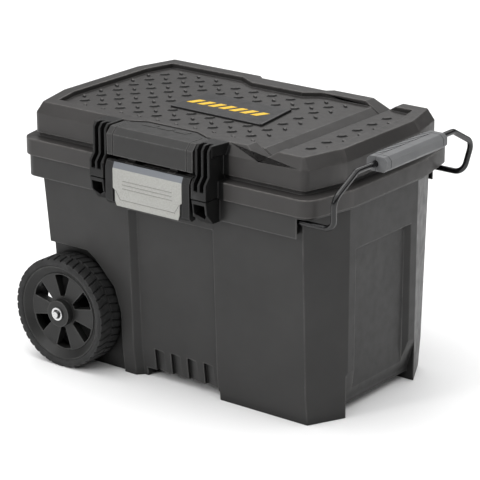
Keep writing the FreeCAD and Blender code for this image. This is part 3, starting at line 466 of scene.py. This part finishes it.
def cover_bars():
    """Plain raised bars on top of the latch cover."""
    lean, front, rear, low, high = 2, -168, -158, 415.7, 416.8
    bm = bmesh.new()
    for x0, x1 in ((-44, -20), (-14, 10), (16, 40)):
        outline = [(x0 - lean, front), (x1 - lean, front), (x1 + lean, rear), (x0 + lean, rear)]
        flat_prism(bm, outline, low, high, 0.06)
    piece = add_piece("cover_bars", to_mesh("cover_bars", bm), "trim_plastic", "lid")
    piece.material_slots[0].material = MATERIAL["cover_plastic"]
    # Painted shade: the bars' side faces get the dark trim plastic.
    shade_sides(piece, "trim_plastic", Vector((0, 0, 1)))
    soften(piece, 0.2 * MM)


def plate_line(bm, points, width, depth, height):
    """Raised line on the latch plate through (x, z) points."""
    face = (PLATE_LOW.y - MIDDLE.y) / MM
    for (x0, z0), (x1, z1) in zip(points, points[1:]):
        along = Vector((x1 - x0, z1 - z0)).normalized()
        side = Vector((-along.y, along.x)) * width / 2
        start = Vector((x0, z0)) - along * width / 2
        end = Vector((x1, z1)) + along * width / 2
        ring = [start - side, end - side, end + side, start + side]
        inner = [start - side * 0.4, end - side * 0.4, end + side * 0.4, start + side * 0.4]
        prism(bm, [at(p.x, face + depth, p.y) for p in ring],
              [at(p.x, face - height, p.y) for p in inner])


def latch_relief():
    """Line round the foot of the latch plate and three plain ribs across it."""
    bm = bmesh.new()
    plate_line(bm, [(-60, 322), (-52, 309), (52, 309), (60, 322)], 1.8, 0.4, 0.5)
    for z in (327, 333, 339):
        plate_line(bm, [(-46, z), (46, z)], 2.2, 0.4, 0.45)
    piece = add_piece("latch_relief", to_mesh("latch_relief", bm), "latch_metal", "latch")
    shade_sides(piece, "shaded_metal", Vector((0, -1, 0)))
    soften(piece, 0.1 * MM)


def tyre_mesh(name, outer_face, inward):
    """Tyre with two rows of slanted lugs, revolved about the axle."""
    lugs, steps = 42, 10
    radius = WHEEL_RADIUS / MM
    drop = 2.4
    half = (TYRE_HIGH.y - TYRE_LOW.y) / MM / 2
    bead = radius - 12.0
    profile = [(bead, -half + 2, 0, 0), (bead + 1.2, -half + 0.6, 0, 0), (bead + 3, -half, 0, 0),
               (radius - drop - 3.2, -half, 0, 0), (radius - drop - 2.6, -half + 0.5, 0, 0),
               (radius - drop - 0.6, -half + 0.4, 1, 0.1), (radius - drop, -half + 4.5, 1, 0.2),
               (radius - drop, -half * 0.5, 1, 0.55), (radius - drop, -1.8, 1, 0.9),
               (radius - drop, -1.0, 0, 1.0), (radius - drop, 1.0, 0, 0.0),
               (radius - drop, 1.8, 1, 0.4), (radius - drop, half * 0.5, 1, 0.05),
               (radius - drop, half - 4.5, 1, -0.3), (radius - drop - 0.6, half - 0.4, 1, -0.4),
               (radius - drop - 2.6, half - 0.5, 0, 0), (bead + 3, half, 0, 0),
               (bead, half - 2, 0, 0)]
    lug_shape = [0, 1, 1, 1, 1, 1, 1, 1, 1, 0]
    centre_y = (outer_face - MIDDLE.y) / MM + inward * half
    axle = Vector(((TYRE_LOW.x + TYRE_HIGH.x) / 2, MIDDLE.y + centre_y * MM, WHEEL_RADIUS))
    bm = bmesh.new()
    rings = []
    for k in range(lugs * steps):
        ring = []
        for r, y, is_lug, slant in profile:
            raised = lug_shape[k % steps] * is_lug * (drop if abs(y) < half - 1 else 1.9)
            turn = 2 * math.pi * (k + slant * steps * 0.5 * (1 if is_lug else 0)) / (lugs * steps)
            reach = (r + raised) * MM
            ring.append(bm.verts.new(axle + Vector((reach * math.cos(turn), inward * y * MM,
                                                    reach * math.sin(turn)))))
        rings.append(ring)
    for k in range(len(rings)):
        a, b = rings[k], rings[(k + 1) % len(rings)]
        for i in range(len(profile)):
            j = (i + 1) % len(profile)
            face = bm.faces.new((a[i], a[j], b[j], b[i]))
            face.material_index = 1 if 5 <= i <= 13 else 0
    return to_mesh(name, bm)


def tyres():
    for side, face, inward in (("front", TYRE_LOW.y, 1), ("rear", REAR_TYRE_HIGH.y, -1)):
        name = side + "_tyre_treaded"
        piece = add_piece(name, tyre_mesh(name, face, inward), "tyre_rubber", side + "_wheel",
                          side + "_tyre")
        piece.data.materials.append(MATERIAL["tread_rubber"])
        soften(piece, 0.25 * MM, 1, 40.0)


def grip_ribs():
    """Row of ribs over the chest-side upper edge of the grip."""
    left = (GRIP_LOW.x - MIDDLE.x) / MM
    top = GRIP_HIGH.z / MM
    half = (GRIP_HIGH.y - GRIP_LOW.y) / MM / 2
    outline = [(left - 0.5, top - 6.4), (left + 5.7, top + 0.6), (left + 16, top + 0.7),
               (left + 16, top - 0.5), (left + 6.4, top - 1.0), (left + 0.8, top - 6.8)]
    count, pitch, wide = 16, 8.0, 4.4
    bm = bmesh.new()
    for i in range(count):
        y = (i - (count - 1) / 2) * pitch
        prism(bm, [at(x, y - wide / 2, z) for x, z in outline],
              [at(x, y + wide / 2, z) for x, z in outline])
    piece = add_piece("grip_ribs", to_mesh("grip_ribs", bm), "grip_plastic", "handle")
    piece.data.materials.append(MATERIAL["shaded_grip"])
    for polygon in piece.data.polygons:
        polygon.material_index = 1 if abs(polygon.normal.y) > 0.7 else 0
    soften(piece, 0.3 * MM)


tread_bars()
badge_stripes()
cover_bars()
latch_relief()
tyres()
grip_ribs()
rounded_node("grip_inner_half", 0.8 * MM, "grip_plastic", "handle")
rounded_node("grip_outer_half", 0.8 * MM, "grip_plastic", "handle")


# ---- studio ----
LAMPS = (("top_light", (-0.3, -0.4, 2.6), 1.6, 16.0), ("back_light", (-1.6, 2.6, 2.6), 1.6, 12.0),
         ("front_light", (-1.0, -2.9, 1.5), 0.7, 27.0), ("side_light", (1.9, -0.5, 3.0), 0.8, 4.0))
LAMP_AIM = (0, 0, 0.2)
SUN_POWER, SUN_SPREAD, SUN_PLACE = 3.2, 120, (0, 0, 3)
VIEW_AZIMUTH, VIEW_ELEVATION = 37.23, 18.94
VIEW_PLACE = (2046.7, -2679.2, 1355.3)
LENS, SENSOR_WIDTH = 170.8, 36.0


def hang(name, light, place):
    """Put a light into the scene at a place in metres."""
    holder = bpy.data.objects.new(name, light)
    holder.location = place
    bpy.context.scene.collection.objects.link(holder)
    return holder


def lamp(name, place, size, power):
    """Round lamp that looks at the chest."""
    light = bpy.data.lights.new(name, "AREA")
    light.shape = "DISK"
    light.size = size
    light.energy = power
    aim = Vector(LAMP_AIM) - Vector(place)
    hang(name, light, place).rotation_euler = aim.to_track_quat("-Z", "Y").to_euler()


def studio():
    """White surroundings and floor, an overhead sun and four lamps."""
    world = bpy.data.worlds.new("studio")
    bpy.context.scene.world = world
    world.use_nodes = True
    sky = world.node_tree.nodes["Background"]
    sky.inputs["Color"].default_value = (1.0, 1.0, 1.0, 1.0)
    sky.inputs["Strength"].default_value = 0.15

    bm = bmesh.new()
    bmesh.ops.create_grid(bm, x_segments=2, y_segments=2, size=30.0)
    floor = bpy.data.objects.new("floor", to_mesh("floor", bm))
    bpy.context.scene.collection.objects.link(floor)
    t = Tree("floor_paint")
    t.colour(t.mix(t.noise(3.0, 3.0), (0.90, 0.90, 0.90), (0.93, 0.93, 0.93)))
    t.set(Roughness=0.9, Specular_IOR_Level=0.1)
    floor.data.materials.append(t.material)

    sun = bpy.data.lights.new("overhead_light", "SUN")
    sun.energy = SUN_POWER
    sun.angle = math.radians(SUN_SPREAD)
    hang("overhead_light", sun, SUN_PLACE)
    for name, place, size, power in LAMPS:
        lamp(name, place, size, power)


def camera():
    """Camera at the reference view: turned 37.2 degrees from the front, 18.9 above."""
    azimuth = math.radians(VIEW_AZIMUTH)
    elevation = math.radians(VIEW_ELEVATION)
    back = Vector((math.sin(azimuth) * math.cos(elevation), -math.cos(azimuth) * math.cos(elevation),
                   math.sin(elevation)))
    lens = bpy.data.cameras.new("camera")
    lens.lens = LENS
    lens.sensor_width = SENSOR_WIDTH
    view = bpy.data.objects.new("camera", lens)
    view.location = at(*VIEW_PLACE)
    view.rotation_euler = (-back).to_track_quat("-Z", "Y").to_euler()
    bpy.context.scene.collection.objects.link(view)
    bpy.context.scene.camera = view


studio()
camera()
bpy.context.scene.view_settings.view_transform = "Standard"
